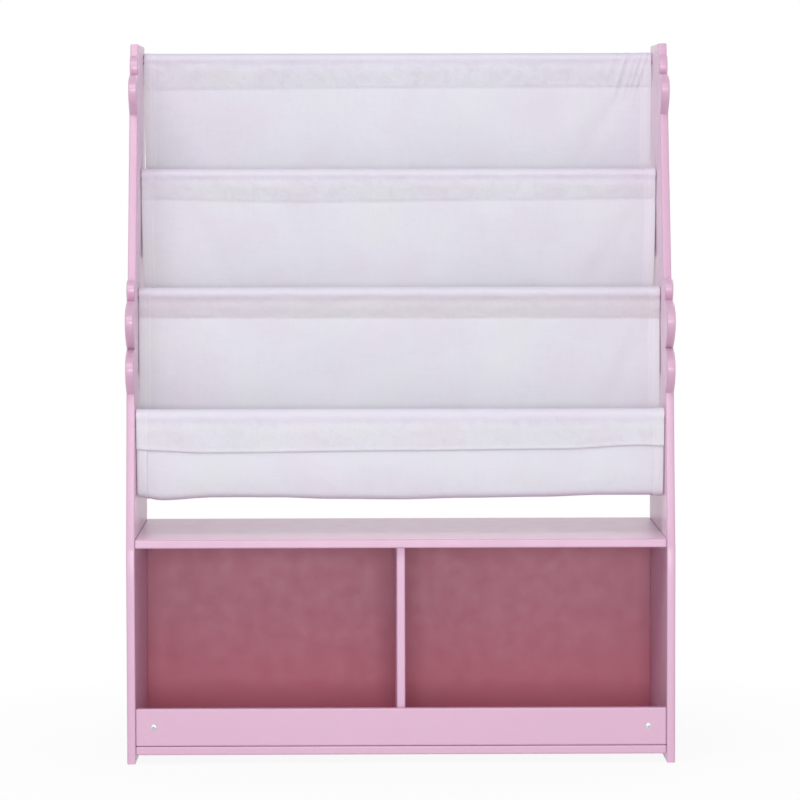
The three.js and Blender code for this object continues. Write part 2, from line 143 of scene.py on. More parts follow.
def straight(start, end, steps):
    """Points at even steps from start to end."""
    return np.linspace(start, end, steps + 1)


def smooth(low, high, x):
    """Rises from 0 at low to 1 at high along 3 t^2 - 2 t^3."""
    t = np.clip((x - low) / (high - low), 0, 1)
    return t * t * (3 - 2 * t)


def around(sides):
    """Even angles round a full turn."""
    return np.arange(sides) * 2 * math.pi / sides


def unit(vectors):
    """Vectors at length one."""
    return vectors / np.linalg.norm(vectors, axis=-1, keepdims=True)


# Boards


def corner_ring(low, high, size, radius):
    """A rectangle's outline with its four corners rounded about fixed centres, centre + size (cos t, sin t),
    and one more point a flat strip's width along each side."""
    (x0, y0), (x1, y1) = np.array(low) + radius, np.array(high) - radius
    parts = []
    for k, centre in enumerate([(x1, y1), (x0, y1), (x0, y0), (x1, y0)]):
        a = QUARTER + k * math.pi / 2
        out = np.stack([np.cos(a), np.sin(a)], 1) * size
        along = np.stack([-np.sin(a), np.cos(a)], 1) * FLAT_STRIP
        arc = np.array(centre) + out
        parts += [arc[:1] - along[:1], arc, arc[-1:] + along[-1:]]
    return np.concatenate(parts)


def eased_board(node, low, high, along, material, radius=EDGE_ROUND):
    """A board with all its edges and corners rounded: the corner ring grows as r sin t while it moves in by
    r (1 - cos t) from each end."""
    sides = [axis for axis in range(3) if axis != along]
    corner = [low[a] for a in sides], [high[a] for a in sides]
    sizes = np.concatenate([radius * np.sin(QUARTER), [radius]])
    depths = np.concatenate([radius * (1 - np.cos(QUARTER)), [radius + FLAT_STRIP]])
    near = [(low[along] + d, s) for d, s in zip(depths, sizes)]
    far = [(high[along] - d, s) for d, s in zip(depths[::-1], sizes[::-1])]
    rings = []
    for place, size in near + far:
        outline = corner_ring(*corner, size, radius)
        ring = np.full((len(outline), 3), place)
        ring[:, sides] = outline
        rings.append(ring)
    count = len(rings[0])
    faces = grid_faces(len(rings), count, ring=True)
    last = (len(rings) - 1) * count
    faces += [list(range(count)), list(range(last, last + count))]
    solid(node.replace("_board", "") + "_eased", rings, faces, material, [node])


# Side panels


def lobe(start, end, reach):
    """An elliptical arc from one crease to the next, for t from -T to T: along the chord by sin t / (2 sin T)
    and out from it by reach (cos t - cos T) / (1 - cos T)."""
    start, end = np.asarray(start), np.asarray(end)
    chord = end - start
    out = unit(np.array([-chord[1], chord[0]]))
    t = np.linspace(-LOBE_HALF_TURN, LOBE_HALF_TURN, LOBE_POINTS + 1)[:, None]
    along = np.sin(t) / (2 * math.sin(LOBE_HALF_TURN))
    bulge = reach * (np.cos(t) - math.cos(LOBE_HALF_TURN)) / (1 - math.cos(LOBE_HALF_TURN))
    return (start + end) / 2 + along * chord + bulge * out


def panel_outline():
    """The side panel's outline as (y, z), counter-clockwise seen from +X: down the scalloped front edge, along
    the foot, up the back and along the top."""
    foot = np.array([FRONT, 0.0])
    base_top = np.array([FRONT, SHELF_TOP - BASE_EDGE_DROP])
    shoulder = np.array([FRONT + SHOULDER[0], SHELF_TOP + SHOULDER[1]])
    waist = np.array([FRONT + WAIST[0], RODS[3][1] + WAIST[1]])
    low_crease = waist + LOW_LOBE
    high_crease = low_crease + MIDDLE_LOBE
    bud_top = high_crease + LOW_BUD
    slope_foot = bud_top + (SLOPE_STEP, 0)
    top_corner = np.array([BACK - TOP_EDGE_WIDTH, PANEL_TOP])
    step = top_corner - (TOP_EDGE_LEAN + TOP_STEP[0], TOP_STEP[1])
    slope = (step - slope_foot) / (step - slope_foot)[1]
    bud_foot = step - slope * TOP_BUD_RISE
    lobe_foot = bud_foot - slope * TOP_LOBE_RISE
    t = np.linspace(0, 1, LOBE_POINTS + 1)[:, None]
    stretches = [
        straight(foot, base_top, 8),
        (1 - t) ** 2 * base_top + 2 * t * (1 - t) * shoulder + t**2 * waist,
        lobe(waist, low_crease, LOBE_REACHES[0]),
        lobe(low_crease, high_crease, LOBE_REACHES[1]),
        lobe(high_crease, bud_top, LOBE_REACHES[2]),
        straight(bud_top, slope_foot, 3),
        straight(slope_foot, lobe_foot, 8),
        lobe(lobe_foot, bud_foot, TOP_LOBE_REACH),
        lobe(bud_foot, step, TOP_BUD_REACH),
        straight(step, step + (TOP_STEP[0], 0), 1),
        straight(step + (TOP_STEP[0], 0), top_corner, 3),
        straight(top_corner, (BACK, PANEL_TOP), 8),
        straight((BACK, PANEL_TOP), (BACK, 0), 16),
        straight((BACK, 0), foot, 8),
    ]
    return np.concatenate([stretch[:-1] for stretch in stretches])[::-1]


def inward(outline):
    """The mitred inward direction at each point of a counter-clockwise outline: the sum of its two edges'
    normals over one plus their product."""
    ahead = unit(np.roll(outline, -1, 0) - outline)
    normal = np.stack([-ahead[:, 1], ahead[:, 0]], 1)
    before = np.roll(normal, 1, 0)
    return (normal + before) / (1 + (normal * before).sum(1, keepdims=True))


# A screw's seat and bore in a panel, and the share of a hole's radius that counts as inside it
SEAT_SIDES = 40
SEAT_RADIUS = 4.3 * MM
SEAT_DEPTH = 2.7 * MM
BORE_RADIUS = 2.0 * MM
HOLE_SHARE = 0.995


def circles(centres, radius):
    """Circles about (y, z) centres: centre + radius (cos t, sin t)."""
    t = around(SEAT_SIDES)
    round_ = np.stack([np.cos(t), np.sin(t)], 1) * radius
    return np.asarray(centres)[:, None] + round_[None]


def filled(outline, holes):
    """Triangles inside an outline and outside its round holes, as (points, index triples)."""
    edges, first = [], 0
    for ring in (outline, *holes):
        edges += [(first + i, first + (i + 1) % len(ring)) for i in range(len(ring))]
        first += len(ring)
    points = [Vector(p) for p in np.concatenate([outline, *holes]).tolist()]
    found, _, triangles, *_ = delaunay_2d_cdt(points, edges, [], 1, 1e-8)
    spots = np.array([tuple(p) for p in found])
    triangles = np.array(triangles)
    centre = spots[triangles].mean(1)
    middles, radius = holes.mean(1), np.linalg.norm(holes[0, 0] - holes[0].mean(0))
    clear = np.linalg.norm(centre[:, None] - middles[None], axis=2).min(1) > radius * HOLE_SHARE
    return spots, triangles[clear]


def side_panel(node, side, screws):
    """A board cut to the outline. Its wall is the outline carried round both faces' quarter rounds, each face
    is filled round its holes, and each hole is a cone for a screw's head and then a bore."""
    outline = panel_outline()
    inner = inward(outline)
    inset = np.concatenate([[EDGE_ROUND + FLAT_STRIP], EDGE_ROUND * (1 - np.sin(QUARTER))])
    rise = np.concatenate([[EDGE_ROUND], EDGE_ROUND * np.cos(QUARTER)])
    half = PANEL_THICKNESS / 2
    inset = np.concatenate([inset, inset[::-1]])
    across = np.concatenate([-(half - EDGE_ROUND) - rise, (half - EDGE_ROUND) + rise[::-1]])
    wall = np.zeros((len(inset), len(outline), 3))
    wall[..., 0] = side * (HALF_WIDTH - half) + across[:, None]
    wall[..., 1:] = outline[None] + inset[:, None, None] * inner[None]
    parts, faces = [wall.reshape(-1, 3)], grid_faces(len(inset), len(outline), ring=True)
    total = len(parts[0])
    for ring in (wall[0], wall[-1]):
        outer = (ring[0, 0] - wall[:, :, 0].mean()) * side > 0
        spots, triangles = filled(ring[:, 1:], circles(screws, SEAT_RADIUS if outer else BORE_RADIUS))
        parts.append(np.column_stack([np.full(len(spots), ring[0, 0]), spots]))
        faces += (triangles + total).tolist()
        total += len(spots)
    depths = side * (HALF_WIDTH - np.array([0, SEAT_DEPTH, PANEL_THICKNESS]))
    for place in screws:
        well = np.zeros((3, SEAT_SIDES, 3))
        well[..., 0] = depths[:, None]
        for k, radius in enumerate((SEAT_RADIUS, BORE_RADIUS, BORE_RADIUS)):
            well[k, :, 1:] = circles([place], radius)[0]
        parts.append(well.reshape(-1, 3))
        faces += grid_faces(3, SEAT_SIDES, ring=True, first=total)
        total += 3 * SEAT_SIDES
    name = node.replace("side_", "") + "_eased"
    solid(name, np.concatenate(parts), faces, pink, [node])


# Rods and screws

ROD_SIDES = 64
ROD_EASE = 0.7 * MM
ROD_BORE = 1.8 * MM
ROD_BORE_DEPTH = 30 * MM


def rod(node, low, high, place):
    """A dowel with broken edges and a bore in each end for its screw, turned about X: each (along, radius) of
    its profile carried round as radius (cos t, sin t)."""
    bore = [(ROD_BORE_DEPTH, 0.0), (ROD_BORE_DEPTH, ROD_BORE), (0.0, ROD_BORE)]
    end = bore + [(0.0, ROD_RADIUS - ROD_EASE), (ROD_EASE, ROD_RADIUS), (ROD_BORE_DEPTH, ROD_RADIUS)]
    profile = [(low.x + x, r) for x, r in end] + [(high.x - x, r) for x, r in end[::-1]]
    along, radius = np.array(profile).T
    t = around(ROD_SIDES)
    points = np.zeros((len(along), ROD_SIDES, 3))
    points[..., 0] = along[:, None]
    points[..., 1] = place[0] + radius[:, None] * np.cos(t)
    points[..., 2] = place[1] + radius[:, None] * np.sin(t)
    faces = grid_faces(len(along), ROD_SIDES, ring=True)
    solid(node.replace("rod", "dowel"), points, faces, pink, [node])


SCREW_SIDES = 72
SCREW_HEAD = 4 * MM
SCREW_RIM = 0.25 * MM
SCREW_CONE = 2.4 * MM
SCREW_SHANK = 1.75 * MM
SCREW_POINT = 3 * MM
LIP_SCREW_DOME = 0.8 * MM
HEAD_RINGS = 24

# Where an arm of the cross recess starts and stops to rise, across it and along it, and its depth
ACROSS_ARM = (0.4125 * MM, 0.715 * MM)
ALONG_ARM = (1.656 * MM, 2.3 * MM)
RECESS_DEPTH = 1.3 * MM


def screw(node, direction, dome=0.0):
    """A cross-head screw. Its top is a dome, d (1 - (r / R)^2), less a cross recess with soft sides. A rim, a
    cone, a shank and a point follow, carried round the axis."""
    low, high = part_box(node)
    axis = int(np.argmax(np.abs(direction)))
    head = (low + high) / 2
    head[axis] = (high if direction[axis] > 0 else low)[axis] - dome * direction[axis]
    length = (high - low)[axis] - dome
    t = around(SCREW_SIDES)
    radii = np.linspace(0, SCREW_HEAD, HEAD_RINGS)[:, None]
    x, y = radii * np.cos(t), radii * np.sin(t)

    def arm(a, b):
        return (1 - smooth(*ACROSS_ARM, np.abs(a))) * (1 - smooth(*ALONG_ARM, np.abs(b)))

    top = dome * (1 - (radii / SCREW_HEAD) ** 2) - RECESS_DEPTH * np.maximum(arm(x, y), arm(y, x))
    profile = [(SCREW_HEAD, -SCREW_RIM), (SCREW_SHANK, -SCREW_CONE)]
    profile += [(SCREW_SHANK, SCREW_POINT - length), (0.0, -length)]
    rings = [np.stack([r * np.cos(t), r * np.sin(t), np.full(SCREW_SIDES, z)], -1) for r, z in profile]
    points = np.concatenate([np.stack([x, y, top + 0 * x], -1), np.array(rings)])
    faces = grid_faces(len(points), SCREW_SIDES, ring=True)
    turn = np.array(Vector((0, 0, 1)).rotation_difference(Vector(direction)).to_matrix())
    points = points.reshape(-1, 3) @ turn.T + np.array(head)
    solid(node.replace("screw", "fixing"), points, faces, zinc, [node], sharp=40)


# Materials


class Finish:
    """The node tree of a material, or of a world, with short calls that add a node and wire its sockets."""

    def __init__(self, name, kind="materials"):
        self.owner = getattr(bpy.data, kind).new(name)
        self.owner.use_nodes = True
        self.tree = self.owner.node_tree
        self.tree.nodes.clear()

    def add(self, kind, sockets=None, **settings):
        made = self.tree.nodes.new(kind)
        for key, value in settings.items():
            setattr(made, key, value)
        for key, value in (sockets or {}).items():
            self.wire(made.inputs[key], value)
        return made

    def wire(self, socket, value):
        if isinstance(value, bpy.types.NodeSocket):
            self.tree.links.new(value, socket)
        else:
            socket.default_value = value

    def maths(self, operation, a, b=0.0):
        return self.add("ShaderNodeMath", {0: a, 1: b}, operation=operation).outputs[0]

    def place(self):
        return self.add("ShaderNodeTexCoord").outputs["Object"]

    def stretched(self, vector, scale):
        return self.add("ShaderNodeMapping", {"Vector": vector, "Scale": scale}).outputs[0]

    def share(self, attribute):
        return self.add("ShaderNodeAttribute", attribute_name=attribute).outputs["Fac"]

    def noise(self, vector, scale, detail=2.0, roughness=0.5, distortion=0.0):
        sockets = {"Vector": vector, "Scale": scale, "Detail": detail}
        sockets |= {"Roughness": roughness, "Distortion": distortion}
        return self.add("ShaderNodeTexNoise", sockets).outputs[0]

    def spread(self, value, low, high, low_out, high_out):
        sockets = {"Value": value, "From Min": low, "From Max": high, "To Min": low_out, "To Max": high_out}
        return self.add("ShaderNodeMapRange", sockets).outputs[0]

    def between(self, factor, a, b):
        made = self.add("ShaderNodeMix", data_type="RGBA")
        for name, value in (("Factor", factor), ("A", a), ("B", b)):
            self.wire([s for s in made.inputs if s.name == name and s.enabled][0], value)
        return [s for s in made.outputs if s.enabled][0]

    def bump(self, height, strength, distance, over=None):
        sockets = {"Height": height, "Strength": strength, "Distance": distance}
        if over is not None:
            sockets["Normal"] = over
        return self.add("ShaderNodeBump", sockets).outputs[0]

    def surface(self, **sockets):
        names = {key.replace("_", " "): value for key, value in sockets.items()}
        return self.add("ShaderNodeBsdfPrincipled", names)

    def mixed(self, share, first, second):
        return self.add("ShaderNodeMixShader", {0: share, 1: first.outputs[0], 2: second.outputs[0]})

    def done(self, shader, output="ShaderNodeOutputMaterial"):
        self.add(output, {"Surface": shader.outputs[0]})
        return self.owner


def linear(red, green, blue):
    """A picture colour from 0 to 255 as the linear colour that a shader takes."""
    c = np.array([red, green, blue]) / 255
    c = np.where(c <= 0.04045, c / 12.92, ((c + 0.055) / 1.055) ** 2.4)
    return (*c.tolist(), 1.0)


# The heights over which a board's colour becomes the darker, redder one near the floor, painted shade and
# # pink bounce behind the lip, and over which the bloom of its paint grows, with the bloom's shares of the coat
# # below and above
FLOOR_SHADE_HEIGHTS = (160 * MM, 60 * MM)
BLOOM_RISE = (SHELF_TOP - 30 * MM, SHELF_TOP - 10 * MM)
BLOOM_SHARES = (0.36, 0.85)
BLOOM_TINT = (1.0, 0.82, 0.92, 1.0)


def board_paint(name, colour, deep, low, gloss, coat):
    """Satin paint on fibre board: a faint cloudy change of colour, a darker, redder colour near the floor that
    is painted shade and pink bounce, a fine orange peel, an uneven gloss and, on faces seen almost edge on, a
    soft pinkish bloom, weaker below the shelf."""
    n = Finish(name)
    place = n.place()
    height = n.add("ShaderNodeSeparateXYZ", {0: place}).outputs[2]
    shade = n.between(n.spread(n.noise(place, 9.0, 3.0), 0.35, 0.7, 0.0, 1.0), colour, deep)
    # Painted shade and pink bounce: the colour turns darker and redder towards the floor
    shade = n.between(n.spread(height, *FLOOR_SHADE_HEIGHTS, 0.0, 1.0), shade, low)
    rough = n.spread(n.noise(place, 45.0, 3.0), 0.3, 0.7, gloss - 0.05, gloss + 0.06)
    peel = n.maths("MULTIPLY", n.noise(place, 700.0), 0.75)
    fibre = n.maths("MULTIPLY", n.noise(place, 2600.0, 1.0), 0.25)
    normal = n.bump(n.maths("ADD", peel, fibre), 0.22, 0.05 * MM)
    lacquer = {"Coat_Weight": coat, "Coat_Roughness": 0.3}
    share = n.spread(height, *BLOOM_RISE, *(part * coat for part in BLOOM_SHARES))
    bloom = {"Sheen_Weight": share, "Sheen_Roughness": 0.5, "Sheen_Tint": BLOOM_TINT}
    return n.done(n.surface(Base_Color=shade, Roughness=rough, Normal=normal, **lacquer, **bloom))


WEAVE_PITCH = 0.62 * MM
LIGHT_THROUGH = 0.14


def cotton_canvas(name, light, shaded, blush, cream, passed, tints):
    """Plain-woven cotton. Warp and weft cross as the product of two sines, the threads wander and swell in
    slubs, and fine creases show where the cloth's crumple attribute is high, bumped and with painted shade in
    their hollows. Faint pinkish and creamy patches break up its white, and each of the tints, (attribute,
    share, colour), shows where its attribute is high: painted pink light over the rods, painted shade on a band
    and painted light on the side hems. It is thin enough to let cool light through one layer."""
    n = Finish(name)
    place = n.add("ShaderNodeUVMap", uv_map="Cloth").outputs[0]
    split = n.add("ShaderNodeSeparateXYZ", {0: place})
    wander = n.maths("MULTIPLY", n.noise(place, 60.0), 1.2)

    def threads(place_along):
        turns = n.maths("MULTIPLY", place_along, 2 * math.pi / WEAVE_PITCH)
        return n.maths("SINE", n.maths("ADD", turns, wander))

    weave = n.maths("MULTIPLY", threads(split.outputs[0]), threads(split.outputs[1]))
    warp_slubs = n.noise(n.stretched(place, (900.0, 22.0, 1.0)), 1.0, 3.0, 0.6)
    weft_slubs = n.noise(n.stretched(place, (16.0, 800.0, 1.0)), 1.0, 3.0, 0.6)
    slubs = n.maths("ADD", warp_slubs, weft_slubs)
    cloudy = n.maths("MULTIPLY", n.noise(place, 7.0, 3.0), 0.8)
    tone = n.maths("ADD", n.maths("MULTIPLY", slubs, 0.4), cloudy)
    crumple = n.share("crumple")
    wrinkles = n.noise(place, 75.0, 4.0, 0.6, distortion=0.7)
    # Painted shade: where the cloth is crumpled, the hollows of the fine creases turn towards the shaded colour
    painted_crease_shade = n.maths("MULTIPLY", n.spread(wrinkles, 0.32, 0.55, 1.0, 0.0), crumple)
    tone = n.maths("ADD", tone, n.maths("MULTIPLY", painted_crease_shade, 0.35))
    shade = n.between(n.spread(tone, 0.6, 1.2, 0.0, 1.0), light, shaded)
    patches = n.noise(place, 12.0, 2.0, 0.4)
    shade = n.between(n.spread(patches, 0.5, 0.68, 0.0, 0.32), shade, blush)
    shade = n.between(n.spread(patches, 0.48, 0.3, 0.0, 0.4), shade, cream)
    for attribute, most, tint in tints:
        shade = n.between(n.maths("MULTIPLY", n.share(attribute), most), shade, tint)
    threads_up = n.maths("ADD", n.maths("MULTIPLY", weave, 0.35), slubs)
    creased = n.bump(n.maths("MULTIPLY", wrinkles, crumple), 1.0, 1.1 * MM)
    normal = n.bump(threads_up, 0.25, 0.12 * MM, creased)
    fuzz = {"Specular_IOR_Level": 0.15, "Sheen_Weight": 0.25, "Sheen_Roughness": 0.5}
    cloth = n.surface(Base_Color=shade, Roughness=0.94, Normal=normal, **fuzz)
    through = n.add("ShaderNodeBsdfTranslucent", {"Color": passed, "Normal": normal})
    return n.done(n.mixed(LIGHT_THROUGH, cloth, through))


def sewing_thread(name, light, shaded):
    """White cotton thread with fine slanting bands of twist, painted darker in their grooves as shade."""
    n = Finish(name)
    sockets = {"Vector": n.place(), "Scale": 900.0, "Distortion": 1.0}
    twist = n.add("ShaderNodeTexWave", sockets, bands_direction="DIAGONAL").outputs[1]
    # Painted shade: the twist's grooves turn to the shaded colour
    shade = n.between(twist, shaded, light)
    return n.done(n.surface(Base_Color=shade, Roughness=0.8, Normal=n.bump(twist, 0.4, 0.08 * MM)))


def sanded_softwood(name, light, dark):
    """Softwood with its grain along X, as noise stretched about thirty times that way."""
    n = Finish(name)
    grain = n.noise(n.stretched(n.place(), (9.0, 260.0, 260.0)), 1.0, 5.0, 0.6)
    shade = n.between(n.spread(grain, 0.3, 0.7, 0.0, 1.0), light, dark)
    rough = n.spread(grain, 0.3, 0.7, 0.5, 0.68)
    return n.done(n.surface(Base_Color=shade, Roughness=rough, Normal=n.bump(grain, 0.3, 0.1 * MM)))


def bright_zinc(name, light, shaded):
    """Bright zinc plate, a little mottled."""
    n = Finish(name)
    mottle = n.noise(n.place(), 900.0, 3.0)
    shade = n.between(n.spread(mottle, 0.3, 0.7, 0.0, 1.0), light, shaded)
    rough = n.spread(mottle, 0.3, 0.7, 0.24, 0.36)
    normal = n.bump(mottle, 0.15, 0.03 * MM)
    return n.done(n.surface(Base_Color=shade, Metallic=1.0, Roughness=rough, Normal=normal))


# The third colour of each paint is its painted shade near the floor
pinks = linear(215, 171, 199), linear(211, 166, 195), linear(213, 169, 196)
pink = board_paint("satin_pink_paint", *pinks, gloss=0.36, coat=0.42)
# The back board's paint is rosier than the case's, and darker and redder still as painted shade and pink bounce
# of the compartments
rose_and_shade_colours = linear(200, 123, 144), linear(197, 119, 140), linear(212, 117, 138)
rose_and_shade = board_paint("back_board_paint", *rose_and_shade_colours, gloss=0.45, coat=0.0)
canvas = cotton_canvas(
    "cotton_canvas",
    light=linear(242, 241, 247),
    shaded=linear(232, 229, 237),
    blush=linear(238, 225, 235),
    cream=linear(239, 239, 236),
    passed=linear(205, 214, 238),
    tints=(
        # Painted light: the double side hems are lifted towards white, against the shade of the panels beside
        # them
        ("hemmed", 0.4, linear(250, 250, 251)),
        # Painted pink light from the rods under the cloth
        ("on_rod", 0.55, linear(244, 235, 251)),
        # Painted shade: the band under the third rod turns greyer
        ("dulled", 0.6, linear(228, 218, 224)),
    ),
)
thread = sewing_thread("white_thread", linear(244, 242, 243), linear(222, 218, 222))
wood = sanded_softwood("sanded_softwood", linear(226, 200, 160), linear(196, 160, 112))
zinc = bright_zinc("bright_zinc", linear(214, 217, 222), linear(186, 190, 196))


# The sling: each strip of canvas goes over its rear rod in a sewn casing, hangs down in a pocket and comes up
# to the next rod, where it is sewn behind that rod's casing or, on the front rod, goes over it as a flap.

CLOTH = 0.7 * MM
LAYER = CLOTH + 0.12 * MM
CLOTH_HALF = 308.5 * MM
CASING_RADIUS = ROD_RADIUS + CLOTH + LAYER - 0.1 * MM
POCKET_SAG = 99 * MM

# How much each hanging pocket narrows
NECKING = (1.8 * MM, 3.6 * MM, 0.3 * MM)

# Hems and seams, and how far their stitches lie from the edge or the seam
TURN_IN = 9 * MM
SIDE_HEM = 12.5 * MM
HEM_STITCH = 9.2 * MM
SEAM_LAP = 10 * MM
SEAM_STITCH = 2.4 * MM
FLAP_STITCH = 4.2 * MM
STITCH_MARGIN = 4 * MM

# Rows along a strip: steps in each part, closer together near a seam, a turned edge and the bottom's crease
STEPS = {"turn": 4, "side": 16, "arc": 20, "lap": 5}
SIDE_CROWDING = 1.6
TURN_CROWDING = 2.0
CREASE_PLACE = 0.72
CREASE_ROUND = 0.7 * MM
OVER_CREASE = np.linspace(0.63, 0.73, 29)
HANG_SHARES = np.concatenate([np.linspace(0, 0.63, 49)[:-1], OVER_CREASE[:-1], np.linspace(0.73, 1, 21)])
CHAIN_HALVINGS = 50

# Places across a strip, from one side edge to the other, closer together over the side hems and the pleats
HEM_ZONE = 15.4 * MM
OVER_HEM = np.linspace(0, HEM_ZONE, 15)[:-1]
PLEAT_ZONE = 250 * MM
PLAIN = np.linspace(HEM_ZONE - CLOTH_HALF, PLEAT_ZONE, 139)[:-1]
PLEATED = np.linspace(PLEAT_ZONE, CLOTH_HALF - HEM_ZONE, 27)
ACROSS = np.concatenate([OVER_HEM - CLOTH_HALF, PLAIN, PLEATED, CLOTH_HALF - OVER_HEM[::-1]])
COLUMNS = len(ACROSS)

# The columns of a side hem, in mm past its folded edge, and how much cloth the fold itself takes
HEM_COLUMNS = (0.25, 0.5, 0.8, 3.2, 6.4, 9.2, SIDE_HEM / MM)
HEM_FOLD = 0.8 * MM

# How far each rod's seam, or the flap's hem, lies below its rod, as (share of the width, drop in mm)
SEAM_DROPS = (
    ((0, 36.3), (0.5, 34.4), (1, 33.8)),
    ((0, 29.4), (0.31, 32.8), (0.7, 30.9), (1, 29.3)),
    ((0, 28.4), (0.5, 29.2), (1, 29.9)),
    ((0, 39.9), (0.04, 41.5), (0.12, 44.0), (0.5, 42.0), (0.8, 40.5), (0.955, 36.3), (1, 37.0)),
)

# How far each pocket's lowest line lies off its even sag, as (share of the width, height in mm)
SAGS = (
    ((0, 0), (0.16, -2.2), (0.4, 1.2), (0.66, -1.6), (0.86, 1.5), (1, 0)),
    ((0, 0), (0.12, -1.8), (0.35, 1.4), (0.6, -1.5), (0.82, 1.2), (1, -0.5)),
    ((0, 1.3), (0.045, -2.9), (0.15, 0.5), (0.26, 0.2), (0.37, -1.8), (0.5, -2.6))
    + ((0.62, -1.0), (0.77, 0.0), (0.88, 2.0), (0.97, 1.9), (1, 1.2)),
)

# Soft folds across the cloth that faces the front, each from (x, z) to (x, z) in mm, with its width and height:
# those above each pocket, and those on the front pocket's outside
REAR_FOLDS = (
    ((273, 788, 219, 699, 10, -1.5), (256, 792, 196, 702, 15, 0.9), (290, 786, 262, 700, 12, 0.6))
    + ((-262, 780, -214, 640, 16, 1.3), (-60, 770, 40, 690, 26, -1.0), (90, 775, 130, 690, 22, 0.9)),
    ((-250, 650, -202, 554, 12, -1.2), (-236, 650, -186, 554, 14, 0.7), (296, 668, 230, 554, 12, -1.3))
    + ((280, 668, 208, 554, 15, 0.7), (190, 648, 176, 554, 15, -0.8), (-70, 640, -20, 554, 24, 0.8)),
    ((298, 529, 251, 422, 13, -1.2), (282, 529, 230, 422, 15, 0.7), (-284, 512, -262, 418, 16, -0.9))
    + ((-40, 505, 30, 420, 28, 0.9), (110, 505, 90, 420, 20, -0.8)),
)
FRONT_FOLDS = (
    (-150, 356, -60, 322, 12, 0.8),
    (60, 352, 170, 318, 14, -0.8),
    (-255, 350, -215, 312, 8, 0.9),
    (250, 348, 214, 314, 10, 0.8),
)

# Tight pleats in the top band near its right end, as (place across, width, height) in mm, and how they lean
PLEATS = ((262, 2.4, 0.7), (276, 2.8, 1.7), (287.5, 2.2, 1.3), (293.5, 1.8, 1.5), (300.5, 2.0, 1.3))
PLEAT_LEAN = 0.3
PLEAT_PIVOT = 12

# How crumpled the bands under the three rear rods are, a crumpling that also sets painted shade in their
# hollows,
# # and how much painted shade greys each band
BAND_CRUMPLE_AND_SHADE = (0.8, 0.65, 1.0)
BAND_PAINTED_SHADE = (0.0, 0.1, 1.0)

# Where the cloth falls in past each rod's top, and how wide and deep that is, in mm
SLACK_PLACES = (17, 17, 20.5, 20.5)
SLACK_WIDTH = 4.8
SLACK_DEPTH = 1.3

# The seam's groove and the roll over the flap's hem, as (width, height) in mm, the roll's place and how far a
# side hem stands out
SEAM_GROOVE = (2.2, 0.28)
HEM_ROLL = (1.3, 1.1)
HEM_ROLL_PLACE = 2.0
HEM_RELIEF = 0.4

# Small creases of each kind, as (seed, waves, longest, shortest and height in mm)
CREASES = {
    "rear": (40, 14, 150, 30, 0.55),
    "band": (50, 16, 40, 11, 0.34),
    "gathers": (55, 12, 30, 10, 0.3),
    "seam": (60, 8, 14, 5, 0.3),
    "slack": (65, 8, 70, 20, 0.5),
    "front": (71, 14, 120, 24, 0.5),
    "flap": (72, 14, 60, 9, 0.34),
}

# Stretches of cloth in mm over which an effect starts or stops: past a rod's top, past the seam or the flap's
# hem, and past the pocket's lowest line or its end
ROD_ROLL = (12, 26)
BAND_START = (8, 16)
BAND_END = (-5, 0)
GATHERS_START = (3, 9)
GATHERS_END = (12, 24)
PLEATS_START = (-3, 9)
PLEATS_END = (-6, 24)
FOLDS_START = (-4, 22)
REAR_END = (-42, -2)
FRONT_START = (0, 40)
FRONT_END = (-50, -8)
FLAP_START = (8, 18)
FLAP_END = (-2, 0)


def line_through(share, points):
    """A smooth line through (share, height in mm) points, level at each: h0 + (h1 - h0)(3 t^2 - 2 t^3)."""
    places, heights = np.array(points).T
    k = np.clip(np.searchsorted(places, share, side="right") - 1, 0, len(places) - 2)
    return (heights[k] + (heights[k + 1] - heights[k]) * smooth(places[k], places[k + 1], share)) * MM


def between(start, end, steps, crowding=1.0):
    """Steps from one line of (column, 2) points to another, as (row, column, 2). A crowding over 1 brings the
    steps closer together near the end, as 1 - (1 - t)^crowding."""
    share = 1 - (1 - np.linspace(0, 1, steps + 1)[:, None, None]) ** crowding
    return start[None] * (1 - share) + end[None] * share


def beneath(rod_place, drop, back=0.0):
    """A point in each column, a drop below a rod and so far back from it, as (column, 2)."""
    return np.stack([np.full_like(drop, rod_place[0] + back), rod_place[1] - drop], -1)


def casing(rod_place, drop):
    """Cloth over a rod, from behind to in front, as (row, column, 2): straight up from a point that lies the
    drop below the rod and a layer behind it, round the rod, and straight down to its twin in front."""
    reach = np.hypot(drop, LAYER)
    first = np.arccos(CASING_RADIUS / reach) + np.arctan2(LAYER, drop) - math.pi / 2
    angle = first + (math.pi - 2 * first) * np.linspace(0, 1, STEPS["arc"] + 1)[:, None]
    arc = np.stack([np.cos(angle), np.sin(angle)], -1) * CASING_RADIUS + np.array(rod_place)
    up = between(arc[0], beneath(rod_place, drop, LAYER), STEPS["side"], SIDE_CROWDING)[::-1]
    down = between(arc[-1], beneath(rod_place, drop, -LAYER), STEPS["side"], SIDE_CROWDING)
    return np.concatenate([up[:-1], arc, down[1:]])


